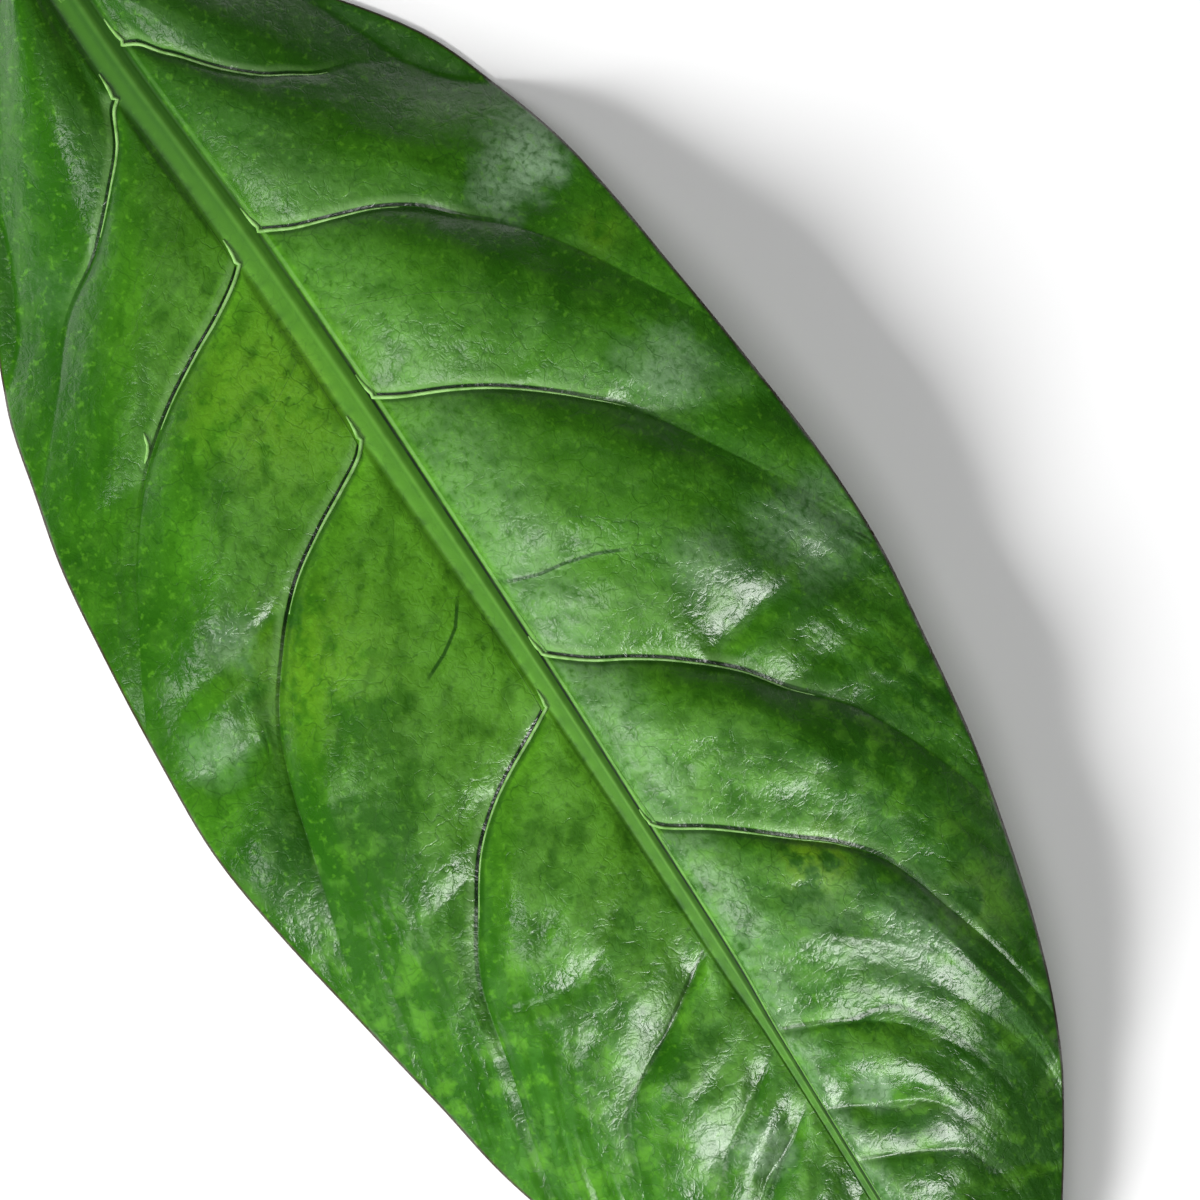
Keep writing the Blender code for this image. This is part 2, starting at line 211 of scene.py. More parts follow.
blade = {
    "rowSpacing": 1.0,
    "veinRows": [0.0, -0.28, 0.32, -0.55, 0.65, -0.95, -1.5, 1.2],
    "smallestRow": 0.2,
    "ribColumns": [0.0, 0.14, 0.28, 0.42, 0.58, 0.74, 0.88, 1.0],
    "bladeColumns": 58,
    "mergeDistance": 0.03,
    "domePower": {1: 0.7, -1: 2.2},
    "domeHeight": 0.42,
    "ridgeHeight": 0.6,
    "farFromVein": 9.0,
    "slopeStep": 0.02,
    "puffSkew": 0.8,
    "grooveDepth": 0.22,
    "grooveWidth": 0.62,
    # a vein with weaker lines than this wanders and has no thread
    "weakLines": 0.5,
    # each lateral vein's valley: depth, width on the base side and on the tip side, strength of its lines
    "valleys": {
        1: [
            (0.3, 5.0, 2.5, 0.9), (0.55, 4.0, 2.2, 1.0), (0.5, 4.0, 2.2, 1.0), (0.7, 5.0, 2.2, 1.0),
            (0.55, 5.0, 2.4, 0.95), (1.1, 5.5, 4.0, 0.45), (0.9, 4.0, 4.5, 0.25), (0.5, 3.5, 3.0, 0.35),
            (0.3, 3.0, 2.0, 0.2), (0.2, 2.0, 2.0, 0.2), (0.12, 2.0, 2.0, 0.2),
        ],
        -1: [
            (0.45, 5.0, 2.6, 0.8), (0.45, 3.5, 2.2, 1.0), (0.65, 4.0, 2.2, 1.0), (0.6, 4.5, 2.2, 1.0),
            (1.5, 5.0, 4.0, 0.45), (0.7, 2.4, 1.6, 0.15), (1.1, 4.5, 3.0, 0.2), (0.4, 4.0, 3.0, 0.2),
            (0.3, 3.0, 2.0, 0.2), (0.15, 2.0, 2.0, 0.2),
        ],
    },
    # size along the leaf, stretch across it, height
    "wrinkles": [(9.0, 1.7, 0.42), (4.2, 1.8, 0.17), (2.1, 1.6, 0.06)],
    # small side veins between the lateral ones, drawn as thin dark lines
    "smallVeins": [
        [(102.1, 3.6), (104.1, 8.8), (104.6, 11.9), (105.8, 16.0), (108.0, 20.5)],
        [(100.4, -1.0), (103.8, -3.6), (105.7, -6.5), (107.6, -10.8)],
    ],
    # broad swells: x, y, radius along and across the leaf, height
    "swells": [
        (118.0, -42.0, 19.0, 13.5, 3.0), (96.0, 44.0, 16.0, 12.0, 1.2), (108.0, 40.0, 9.0, 10.0, 1.0),
        (150.0, 38.0, 14.0, 10.0, 1.0), (170.0, 30.0, 11.0, 9.0, 2.2),
    ],
    # small folds: plan points, depth, width on the base side and on the tip side
    "folds": [
        ([(61.0, 26.8), (64.0, 31.0), (65.6, 35.0), (65.8, 42.0)], 1.5, 6.0, 2.6),
        ([(90.0, 27.5), (94.0, 31.0), (98.0, 36.0), (100.0, 44.0)], 1.5, 6.0, 3.0),
        ([(79.0, 28.0), (80.0, 24.0), (80.6, 21.0), (81.9, 17.5)], 0.5, 1.9, 1.5),
        ([(102.1, 3.6), (104.1, 8.8), (104.6, 11.9), (105.8, 16.0), (108.0, 20.5)], 0.7, 2.4, 2.0),
        ([(122.5, 42.0), (123.1, 30.0), (124.0, 23.8), (124.8, 20.0)], 2.3, 8.0, 2.0),
        ([(112.0, 28.0), (112.6, 30.5), (113.4, 33.8), (115.0, 40.0)], 0.35, 1.3, 1.6),
        ([(133.6, 42.0), (133.0, 34.0), (132.4, 27.5)], 1.0, 4.2, 1.6),
        ([(140.8, 41.0), (140.3, 36.0), (139.4, 31.0)], 0.7, 3.0, 1.6),
        ([(134.8, 20.0), (133.9, 14.0), (133.8, 8.5)], 0.45, 2.2, 1.3),
        ([(145.0, 36.0), (144.6, 26.0), (144.8, 19.0)], 0.25, 2.4, 2.0),
        ([(195.0, 4.5), (197.6, 11.5), (199.4, 19.0), (203.0, 22.0)], 1.0, 6.5, 3.0),
        ([(152.6, 8.0), (154.6, 13.5), (157.0, 19.0)], 0.6, 3.4, 1.8),
        ([(66.2, -24.5), (67.6, -30.0), (68.3, -36.5)], 0.6, 2.6, 1.8),
        ([(89.2, -19.5), (91.3, -27.0), (92.7, -33.0), (93.6, -38.0)], 1.35, 2.8, 1.1),
        ([(102.6, -30.0), (103.1, -36.0), (103.0, -43.0)], 1.5, 3.2, 1.4),
        ([(100.4, -1.0), (103.8, -3.6), (105.7, -6.5), (107.6, -10.8)], 0.26, 1.5, 1.3),
        ([(123.4, -10.5), (124.4, -14.5), (125.0, -18.5)], 0.45, 2.6, 1.4),
        ([(130.4, -18.5), (131.9, -24.0), (133.4, -31.0)], 0.6, 2.6, 1.6),
        ([(139.8, -12.5), (141.8, -16.6), (141.0, -22.0)], 0.45, 2.6, 1.4),
        ([(148.4, -10.0), (149.4, -15.0), (148.4, -20.5), (145.6, -26.0)], 1.35, 4.4, 1.6),
        ([(141.8, -1.4), (144.6, -6.3), (147.2, -10.8)], 0.45, 1.8, 1.3),
        ([(157.0, -18.0), (158.4, -23.0), (158.0, -28.0)], 0.4, 3.4, 2.2),
        ([(165.0, -0.6), (167.3, -4.4), (168.9, -8.8), (169.4, -13.0)], 0.45, 2.0, 1.2),
        ([(48.0, -6.0), (50.0, -12.0), (51.0, -18.0)], 0.25, 3.0, 2.4),
        ([(40.0, 10.0), (42.6, 17.0), (43.6, 25.0)], 0.3, 3.4, 2.4),
    ],
}


def rowStarts():
    veins = sorted({table[0][1] for side in (1, -1) for table in tablesOf[side][1:-1]})
    kept = [0.0, leaf["length"]]
    for offset in blade["veinRows"]:
        for vein in veins:
            row = vein + offset
            if min(abs(row - other) for other in kept) >= blade["smallestRow"]:
                kept.append(row)
    kept.sort()
    rows = []
    for here, after in zip(kept, kept[1:]):
        steps = max(1, round((after - here) / blade["rowSpacing"]))
        rows += [here + (after - here) * step / steps for step in range(steps)]
    return [*rows, leaf["length"]]


def wrinkleHeight(x, y, flow, share, side):
    # wrinkles run along the rows, so they are longer across the leaf than along it
    total = 0.0
    for size, stretch, height in blade["wrinkles"]:
        spot = Vector((flow / size, abs(y) / (size * stretch), side * 7.0 + size))
        total += height * noise.noise(spot)
    total *= 1 - 0.85 * ramp(flow, 145.0, 168.0) * ramp(share, 0.4, 0.7)
    return total * ramp(share, 0.0, 0.15) * (0.5 + 0.5 * ramp(x, 60.0, 140.0) + 0.35 * ramp(x, 155.0, 172.0))


def valleyShape(gap, width):
    # 1 on the line, falling straight at first and levelling off to 0
    return max(0.0, 1 - abs(gap) / (2.2 * width)) ** 2


def foldPlace(points, x, y):
    # distance to a fold line, negative on its base side, and its strength, which fades at both ends
    nearest = None
    for i in range(len(points) - 1):
        (ax, ay), (bx, by) = points[i], points[i + 1]
        dx, dy = bx - ax, by - ay
        f = min(max(((x - ax) * dx + (y - ay) * dy) / (dx * dx + dy * dy), 0.0), 1.0)
        gap = math.hypot(x - ax - f * dx, y - ay - f * dy)
        if nearest is None or gap < nearest[0]:
            nearest = (gap, (i + f) / (len(points) - 1), x - ax - f * dx)
    gap, along, lean = nearest
    return math.copysign(gap, lean), math.sin(math.pi * min(max(along, 0.03), 0.97)) ** 0.55


def foldHeight(x, y):
    total = 0.0
    for points, depth, baseWidth, tipWidth in blade["folds"]:
        reach = 2.2 * baseWidth
        if not min(p[0] for p in points) - reach < x < max(p[0] for p in points) + reach:
            continue
        if not min(p[1] for p in points) - reach < y < max(p[1] for p in points) + reach:
            continue
        gap, strength = foldPlace(points, x, y)
        total += depth * strength * valleyShape(gap, baseWidth if gap < 0 else tipWidth)
    return total


def veinValleys(x, share, side, k, edge, wide):
    # depth of the valleys of the veins before and after a point, and the distance square to the nearer vein
    tables = tablesOf[side]
    outer, inner = min(share + blade["slopeStep"], 1.0), max(share - blade["slopeStep"], 0.0)
    outward = edge * (outer - inner)
    valley = 0.0
    gaps = []
    for vein in (k, k + 1):
        if not 0 < vein < len(tables) - 1:
            continue
        swing = smoothValue(tables[vein], outer) - smoothValue(tables[vein], inner)
        gap = (x - smoothValue(tables[vein], share)) * outward / math.hypot(swing, outward)
        depth, baseWidth, tipWidth, lines = blade["valleys"][side][vein - 1]
        width = min(baseWidth if vein > k else tipWidth, wide / 2.4)
        strength = 1.0
        fadeFrom, fadeOver = 0.5 if lines > 0.96 else 0.3, 0.42
        if lines < blade["weakLines"]:
            spot = Vector((vein * 3.7, share * 2.6, side * 5.0))
            strength = 0.75 + 1.3 * noise.noise(spot)
            gap += 2.2 * noise.noise(spot * 1.7 + Vector((8.0, 0.0, 0.0))) * ramp(share, 0.05, 0.3)
            fadeFrom, fadeOver = 0.24, 0.28
        strength *= ramp(share, 0.0, 0.12) * (1 - ramp(share, fadeFrom, fadeFrom + fadeOver))
        valley += strength * depth * valleyShape(gap, width)
        gaps.append((abs(gap), gap, lines))
    _, gap, lines = min(gaps)
    return valley, gap, lines


def ribPoint(start, side, across, values):
    # a grid point on the midrib, as bladePoint gives it
    rib, above, below = (smoothValue(leaf["midrib"], start, column) for column in (1, 2, 3))
    ribInside = min(rib, halfWidth(start, side) * 0.5)
    # the midrib runs softly into the left half and stands off the right half, with a low ridge line
    dome = (1 - across**2) ** blade["domePower"][side]
    ridge = 0.26 * bell(side * across - 0.32, 0.2) - 0.12 * bell(side * across + 0.4, 0.35)
    y = midribY(start) + side * ribInside * across
    z = bladeHeight(start, side, 0.0) + above * (dome * blade["domeHeight"] + ridge * blade["ridgeHeight"])
    values.update(ribAcross=side * across, edgeDist=halfWidth(start, side))
    return start, y, z, leaf["thickness"] + above * dome * blade["domeHeight"] + below * dome, values


def bladePoint(start, column, ribCount, bladeCount):
    # a grid point's x, y, z, thickness and the values that the shader reads, in mm
    side = 1 if column >= 0 else -1
    step = abs(column)
    far = blade["farFromVein"]
    values = {
        "veinDist": far, "veinFade": 0.0, "smallDist": far, "smallFade": 0.0, "share": 0.0,
        "side": float(side), "across": 0.5, "along": start, "flow": start,
    }
    if step < ribCount:
        return ribPoint(start, side, blade["ribColumns"][step], values)
    share = ((step - ribCount + 1) / bladeCount) ** 0.94
    k, across = panelOf(start, side)
    before = smoothValue(tablesOf[side][k], share)
    after = smoothValue(tablesOf[side][k + 1], share)
    x = (1 - across) * before + across * after
    rib = smoothValue(leaf["midrib"], start)
    edge = halfWidth(x, side)
    ribInside = min(rib, edge * 0.5)
    y = midribY(x) + side * (ribInside + share * (edge - ribInside))
    if side > 0:
        envelope = 0.55 + 0.45 * math.sin(math.pi * share)
    else:
        # the left half rises softly from the midrib
        envelope = 0.16 + 0.84 * ramp(share, -0.05, 0.42)
    wide = after - before
    envelope *= 1 - 0.4 * ramp(wide, 16.0, 38.0)
    envelope *= 1 - 0.7 * ramp(share, 0.5, 0.92)
    envelope *= 1 - 0.9 * ramp(start, 138.0, 160.0) * ramp(share, 0.27, 0.55)
    puff = leaf["puffRatio"] * wide * envelope * math.sin(math.pi * across ** blade["puffSkew"])
    valley, gap, lines = veinValleys(x, share, side, k, edge, wide)
    groove = blade["grooveDepth"] * bell(gap, blade["grooveWidth"]) * lines * (1 - ramp(share, 0.3, 0.75))
    z = bladeHeight(x, side, share) + puff - groove - valley
    z += wrinkleHeight(x, y, start, share, side) - foldHeight(x, y)
    for centreX, centreY, alongReach, acrossReach, height in blade["swells"]:
        z += height * bell(x - centreX, alongReach) * bell(y - centreY, acrossReach)
    distance = (1 - share) * (edge - ribInside)
    places = [foldPlace(points, x, y) for points in blade["smallVeins"]]
    smallGap, smallStrength = min(places, key=lambda found: abs(found[0]))
    values.update(
        smallDist=smallGap,
        smallFade=ramp(smallStrength, 0.27, 0.6) * (1 - ramp(abs(smallGap), 1.5, 3.0)),
        veinDist=gap,
        veinFade=lines * (1 - ramp(share, 0.42, 0.78)),
        share=share,
        across=across,
        along=x,
        ribAcross=side * (1 + share * (edge - ribInside) / rib),
        edgeDist=distance,
    )
    thickness = leaf["rimThickness"] + (leaf["thickness"] - leaf["rimThickness"]) * ramp(distance, 0.0, 1.2)
    return x, y, z, thickness, values


# What the blade's shader reads at each point
bladeValues = [
    "veinDist", "veinFade", "smallDist", "smallFade", "share", "side", "across", "along", "flow", "ribAcross",
    "edgeDist", "lower",
]


def makeBlade():
    rows = rowStarts()
    ribCount = len(blade["ribColumns"])
    columns = ribCount + blade["bladeColumns"] - 1
    bm = bmesh.new()
    bmesh.ops.create_grid(bm, x_segments=len(rows) - 1, y_segments=2 * columns, size=0.5)
    layers = {name: bm.verts.layers.float.new(name) for name in bladeValues}
    thicknessOf = bm.verts.layers.float.new("thickness")
    for vert in bm.verts:
        row = round((vert.co.x + 0.5) * (len(rows) - 1))
        column = round((vert.co.y + 0.5) * 2 * columns) - columns
        x, y, z, thickness, values = bladePoint(rows[row], column, ribCount, blade["bladeColumns"])
        vert.co = (x * mm, y * mm, z * mm)
        vert[thicknessOf] = thickness * mm
        for name, value in values.items():
            vert[layers[name]] = value
    bmesh.ops.remove_doubles(bm, verts=bm.verts[:], dist=blade["mergeDistance"] * mm)
    bmesh.ops.triangulate(bm, faces=bm.faces[:])
    extruded = bmesh.ops.extrude_face_region(bm, geom=bm.faces[:])["geom"]
    for vert in extruded:
        if isinstance(vert, bmesh.types.BMVert):
            vert.co.z = max(vert.co.z - vert[thicknessOf], 0.0)
            vert[layers["lower"]] = 1.0
            vert[thicknessOf] = 0.0
    # what would sink into the surface is lifted onto it
    for vert in bm.verts:
        vert.co.z = max(vert.co.z, vert[thicknessOf])
    bm.verts.layers.float.remove(thicknessOf)
    bmesh.ops.recalc_face_normals(bm, faces=bm.faces[:])
    return bm


# Stalk

stalk = {
    # x, y, height of centre, radius; the last points run inside the midrib
    "points": [
        (-45.0, -1.4, 3.1, 2.05), (-44.0, -1.35, 3.1, 2.05), (-32.0, -0.9, 3.4, 1.95),
        (-22.0, -0.6, 4.0, 1.95), (-15.0, -0.4, 4.7, 2.15), (-10.0, -0.3, 5.3, 2.5),
        (-5.0, -0.2, 5.9, 2.55), (0.0, -0.2, 6.3, 2.3), (5.0, -0.2, 6.5, 1.9), (11.0, -0.2, 6.8, 1.3),
    ],
    "steps": 60,
    "bevelResolution": 8,
    "rimAngle": 1.2,
    "rimBevel": 0.15,
    "cutEnd": -44.0,
}


def tubeMesh(name, paths, resolution):
    # one closed tube for each path of (x, y, z, radius), in mm
    curve = bpy.data.curves.new(name, "CURVE")
    curve.dimensions = "3D"
    curve.bevel_depth = mm
    curve.bevel_resolution = resolution
    curve.use_fill_caps = True
    for path in paths:
        spline = curve.splines.new("POLY")
        spline.points.add(len(path) - 1)
        for point, (x, y, z, radius) in zip(spline.points, path):
            point.co = (x * mm, y * mm, z * mm, 1.0)
            point.radius = radius
    tube = bpy.data.objects.new(name, curve)
    scene.collection.objects.link(tube)
    mesh = bpy.data.meshes.new_from_object(tube.evaluated_get(bpy.context.evaluated_depsgraph_get()))
    bpy.data.objects.remove(tube)
    bm = bmesh.new()
    bm.from_mesh(mesh)
    bpy.data.meshes.remove(mesh)
    bmesh.ops.remove_doubles(bm, verts=bm.verts[:], dist=0.002 * mm)
    bmesh.ops.recalc_face_normals(bm, faces=bm.faces[:])
    return bm


def makeStalk():
    points = stalk["points"]
    first, last = points[0][0], points[-1][0]
    path = []
    for step in range(stalk["steps"] + 1):
        x = first + (last - first) * step / stalk["steps"]
        path.append((x, smoothValue(points, x), smoothValue(points, x, 2), smoothValue(points, x, 3)))
    bm = tubeMesh("stalk", [path], stalk["bevelResolution"])
    # soften the rim of the cut end
    sharp = [e for e in bm.edges if len(e.link_faces) == 2 and e.calc_face_angle(0.0) > stalk["rimAngle"]]
    rim = [e for e in sharp if e.verts[0].co.x < stalk["cutEnd"] * mm]
    bevel = {"offset": stalk["rimBevel"] * mm, "segments": 2, "profile": 0.5}
    bmesh.ops.bevel(bm, geom=rim, affect="EDGES", material=-1, **bevel)
    return bm


# Lateral veins as fine raised threads

threads = {
    "fullRadius": 0.27,
    "endRadius": 0.06,
    "steps": 70,
    # share of the way to the margin
    "reach": {1: [0.62, 0.44, 0.62, 0.62, 0.5], -1: [0.42, 0.52, 0.46, 0.52]},
    # where a thread leaves the midrib: mm before the bend, share of the midrib's half width
    "hook": [(-3.6, 1.02), (-2.4, 1.04), (-1.2, 1.1), (-0.4, 1.2)],
    "sink": 0.3,
    # a short healed mark beside the second vein of the left half: x, y, radius
    "scar": [
        (61.9, -22.6, 0.08), (62.6, -22.8, 0.2), (63.4, -23.0, 0.24), (64.0, -23.4, 0.26),
        (64.6, -24.0, 0.22), (65.1, -24.6, 0.1),
    ],
}


def dropOnto(tree, x, y):
    hit = tree.ray_cast(Vector((x * mm, y * mm, 0.1)), Vector((0, 0, -1)))
    return hit[0].z / mm if hit[0] else None


def threadPaths(tree):
    paths = []
    for side, veins in ((1, rightVeins), (-1, leftVeins)):
        for number, points in enumerate(veins):
            if blade["valleys"][side][number][3] < blade["weakLines"]:
                continue
            table = tablesOf[side][number + 1]
            start = points[0][0]
            plan = []
            for before, ribShare in threads["hook"]:
                x = start + before * smoothValue(leaf["midrib"], start) / 2
                plan.append((x, midribY(x) + side * smoothValue(leaf["midrib"], x) * ribShare))
            for step in range(1, threads["steps"] + 1):
                share = threads["reach"][side][number] * (step / threads["steps"]) ** 1.1
                x = smoothValue(table, share)
                edge = halfWidth(x, side)
                ribInside = min(smoothValue(leaf["midrib"], start), edge * 0.5)
                plan.append((x, midribY(x) + side * (ribInside + share * (edge - ribInside))))
            size = ramp(smoothValue(leaf["midrib"], start), 0.1, 1.9)
            path = []
            for i, (x, y) in enumerate(plan):
                f = i / (len(plan) - 1)
                full = threads["fullRadius"] * (0.45 + 0.55 * size)
                radius = threads["endRadius"] + (full - threads["endRadius"]) * (1 - f**1.6)
                if i < 2:
                    radius *= 0.4 + 0.3 * i
                z = dropOnto(tree, x, y)
                if z is not None:
                    path.append((x, y, z + radius * (1 - 2 * threads["sink"]), radius))
            if len(path) > 8:
                paths.append(path)
    paths.append([(x, y, dropOnto(tree, x, y) + radius * 0.3, radius) for x, y, radius in threads["scar"]])
    return paths


# Materials

def newMaterial(name):
    material = bpy.data.materials.new(name)
    material.use_nodes = True
    tree = material.node_tree
    return material, tree, tree.nodes["Principled BSDF"]


def addNode(tree, kind, inputs=None, **settings):
    made = tree.nodes.new(kind)
    for key, value in settings.items():
        setattr(made, key, value)
    for key, value in (inputs or {}).items():
        if isinstance(value, bpy.types.NodeSocket):
            tree.links.new(value, made.inputs[key])
        else:
            made.inputs[key].default_value = value
    return made


def mathNode(tree, operation, *values):
    return addNode(tree, "ShaderNodeMath", dict(enumerate(values)), operation=operation).outputs[0]


def vectorNode(tree, operation, inputs):
    made = addNode(tree, "ShaderNodeVectorMath", inputs, operation=operation)
    return made.outputs["Value" if operation == "DISTANCE" else "Vector"]


def rangeNode(tree, value, fromLow, fromHigh, toLow=0.0, toHigh=1.0):
    made = addNode(
        tree, "ShaderNodeMapRange",
        {"Value": value, "From Min": fromLow, "From Max": fromHigh, "To Min": toLow, "To Max": toHigh},
        interpolation_type="SMOOTHSTEP",
    )
    return made.outputs["Result"]


def multiply(tree, *factors):
    result = factors[0]
    for factor in factors[1:]:
        result = mathNode(tree, "MULTIPLY", result, factor)
    return result


def band(tree, value, low, full, fullEnd, high):
    # 0 below low, 1 from full to fullEnd, 0 above high
    return multiply(tree, rangeNode(tree, value, low, full), rangeNode(tree, value, fullEnd, high, 1.0, 0.0))


def tint(tree, color, target, *factors):
    # 0, 6 and 7 are the colour mix's factor and its two colours, and 2 is its result
    inputs = {0: multiply(tree, *factors), 6: color, 7: target}
    return addNode(tree, "ShaderNodeMix", inputs, data_type="RGBA").outputs[2]


def noiseNode(tree, place, scale, detail, roughness=0.5, dimensions="3D"):
    inputs = {"Vector": place, "Scale": scale, "Detail": detail, "Roughness": roughness}
    return addNode(tree, "ShaderNodeTexNoise", inputs, noise_dimensions=dimensions).outputs["Fac"]


def readAttribute(tree, name):
    return addNode(tree, "ShaderNodeAttribute", attribute_name=name).outputs["Fac"]


bladeFinish = {
    "dark": (0.013, 0.075, 0.0025, 1.0),
    "green": (0.036, 0.150, 0.006, 1.0),
    "light": (0.096, 0.300, 0.014, 1.0),
    "cool": (0.045, 0.165, 0.022, 1.0),
    "yellow": (0.17, 0.36, 0.012, 1.0),
    # painted highlight colour, for the pale shine patches and the sheen beside the midrib
    "paintedHighlight": (0.24, 0.38, 0.22, 1.0),
    "netLine": (0.008, 0.05, 0.003, 1.0),
    # painted shadow colour, for the creases beside the veins and the midrib
    "paintedCreaseShadow": (0.002, 0.010, 0.002, 1.0),
    # painted highlight colour, for the pale rims beside the veins and the midrib
    "paintedRimHighlight": (0.16, 0.33, 0.09, 1.0),
    "midrib": (0.046, 0.165, 0.006, 1.0),
    # painted highlight colour, for the midrib's ridge line
    "midribRidgeHighlight": (0.085, 0.255, 0.016, 1.0),
    # painted shade colour, for the midrib's left shoulder
    "midribPaintedShade": (0.042, 0.145, 0.006, 1.0),
    "edge": (0.030, 0.010, 0.010, 1.0),
    "under": (0.12, 0.235, 0.06, 1.0),
    # noise sizes: cycles to the metre
    "cloudScale": 60.0,
    "patchScale": 260.0,
    "speckScale": 900.0,
    "warpScale": 480.0,
    "warpReach": 0.0034,
    # streaks: cycles to the mm of the row's start, to the half width, between the halves
    "streakScale": (0.36, 11.0, 9.0),
    # nets: cells to the metre, width of the line as a share of a cell
    "nets": {"fineLine": (620.0, 0.10), "wideLine": (230.0, 0.05)},
    "roughness": (0.20, 0.32),
    "indexOfRefraction": 1.5,
    "specular": (0.5, 0.12),
    "relief": {"fineLine": -0.05, "wideLine": -0.08, "patchy": 1.2, "speck": 0.34, "streak": 0.5},
    "reliefStrength": 0.8,
    "reliefDistance": 0.0002,
    # patches: mm from the blade's base, mm from the long axis, radius, strength
    # the pale patches are painted highlights
    "paintedHighlightPatches": [
        (59.0, 36.5, 7.5, 0.95), (61.5, 31.0, 5.0, 0.6), (39.5, -22.0, 5.5, 0.2), (30.5, 25.0, 7.0, 0.1),
        (91.5, 36.0, 7.5, 0.4), (118.0, 40.0, 10.0, 0.35), (90.5, -28.0, 4.5, 0.3), (100.5, -37.0, 5.5, 0.35),
        (168.0, 22.0, 10.0, 0.3), (159.0, 16.0, 8.0, 0.2), (180.5, 7.8, 3.4, 1.0), (114.0, 27.0, 6.0, 0.3),
        (168.0, 32.0, 7.0, 0.15), (190.0, 13.0, 5.0, 0.25), (179.5, -7.5, 4.2, 0.9), (176.0, -12.0, 3.5, 0.4),
    ],
    # darker patches, partly darker green and partly painted shade
    "darkGreenAndShadePatches": [
        (109.0, -20.0, 9.0, 0.6), (72.0, -19.0, 7.0, 0.9), (142.0, 30.0, 7.0, 0.5), (186.5, 10.0, 4.5, 1.0),
        (175.5, 11.0, 3.6, 0.8), (164.5, -10.5, 5.5, 1.0), (72.0, 24.0, 10.0, 0.5), (31.0, -17.0, 14.0, 1.0),
        (42.0, 25.0, 9.0, 0.5), (120.0, -30.0, 14.0, 0.9), (198.0, 21.0, 11.0, 1.0),
    ],
    "dullPatches": [
        (119.5, -29.0, 12.0, 1.0), (156.0, -25.5, 9.0, 0.8), (152.0, 28.5, 8.0, 0.9),
        (198.0, 21.0, 11.0, 1.0), (176.0, 29.0, 7.0, 0.5), (186.0, 26.0, 9.0, 1.0),
        (184.0, 32.0, 8.0, 1.0), (138.0, -28.5, 9.0, 0.8), (186.8, 10.0, 4.2, 0.9),
        (164.5, -10.5, 4.5, 0.7), (109.0, -20.0, 8.0, 0.6), (170.0, 12.0, 6.0, 0.35),
    ],
    "yellowPatches": [
        (153.0, 17.5, 6.5, 0.95), (67.0, -7.0, 17.0, 0.35), (98.0, -21.0, 16.0, 0.3), (73.0, 39.0, 5.0, 0.25),
        (168.0, 32.0, 7.0, 0.3),
    ],
}


def raggedCover(tree, plan, wobble, patches, offset):
    # how strongly any of the patches (x, y, radius, strength, in mm from the blade's base) covers a point
    cover = 0.0
    for x, y, radius, strength in patches:
        spot = (x * mm + offset.x, y * mm + offset.y, 0.0)
        away = vectorNode(tree, "DISTANCE", {0: plan, 1: spot})
        ragged = mathNode(tree, "MULTIPLY_ADD", wobble, radius * 1.3 * mm, away)
        inside = rangeNode(tree, ragged, radius * 0.15 * mm, radius * 1.05 * mm, strength, 0.0)
        cover = mathNode(tree, "MAXIMUM", inside, cover)
    return cover


def bladeTextures(tree, offset):
    f = bladeFinish
    t = {name: readAttribute(tree, name) for name in bladeValues}
    place = addNode(tree, "ShaderNodeTexCoord").outputs["Object"]
    t["cloudy"] = noiseNode(tree, place, f["cloudScale"], 4.0, 0.6)
    t["patchy"] = noiseNode(tree, place, f["patchScale"], 3.0, 0.55)
    t["speck"] = noiseNode(tree, place, f["speckScale"], 2.0, 0.6, "2D")

    # streaks lie along the lateral veins
    scales = zip(("flow", "share", "side"), f["streakScale"])
    scaled = [multiply(tree, t[name], scale) for name, scale in scales]
    streakPlace = addNode(tree, "ShaderNodeCombineXYZ", dict(zip("XYZ", scaled))).outputs[0]
    t["streak"] = noiseNode(tree, streakPlace, 1.0, 1.5)

    # two nets of fine veins, bent so that no cell is straight
    warpInputs = {"Vector": place, "Scale": f["warpScale"], "Detail": 1.0}
    warp = addNode(tree, "ShaderNodeTexNoise", warpInputs, noise_dimensions="2D").outputs["Color"]
    shift = vectorNode(tree, "SUBTRACT", {0: warp, 1: (0.5, 0.5, 0.5)})
    pushed = vectorNode(tree, "SCALE", {0: shift, "Scale": f["warpReach"]})
    bent = vectorNode(tree, "ADD", {0: place, 1: pushed})
    for name, (cells, width) in f["nets"].items():
        net = addNode(
            tree, "ShaderNodeTexVoronoi", {"Vector": bent, "Scale": cells},
            feature="DISTANCE_TO_EDGE", voronoi_dimensions="2D",
        )
        t[name] = rangeNode(tree, net.outputs["Distance"], 0.0, width, 1.0, 0.0)

    # patches with uneven outlines, placed in plan
    plan = vectorNode(tree, "MULTIPLY", {0: place, 1: (1.0, 1.0, 0.0)})
    wobble = mathNode(tree, "SUBTRACT", t["patchy"], 0.5)
    for name in ("yellowPatches", "paintedHighlightPatches", "darkGreenAndShadePatches", "dullPatches"):
        t[name] = raggedCover(tree, plan, wobble, f[name], offset)
    return t


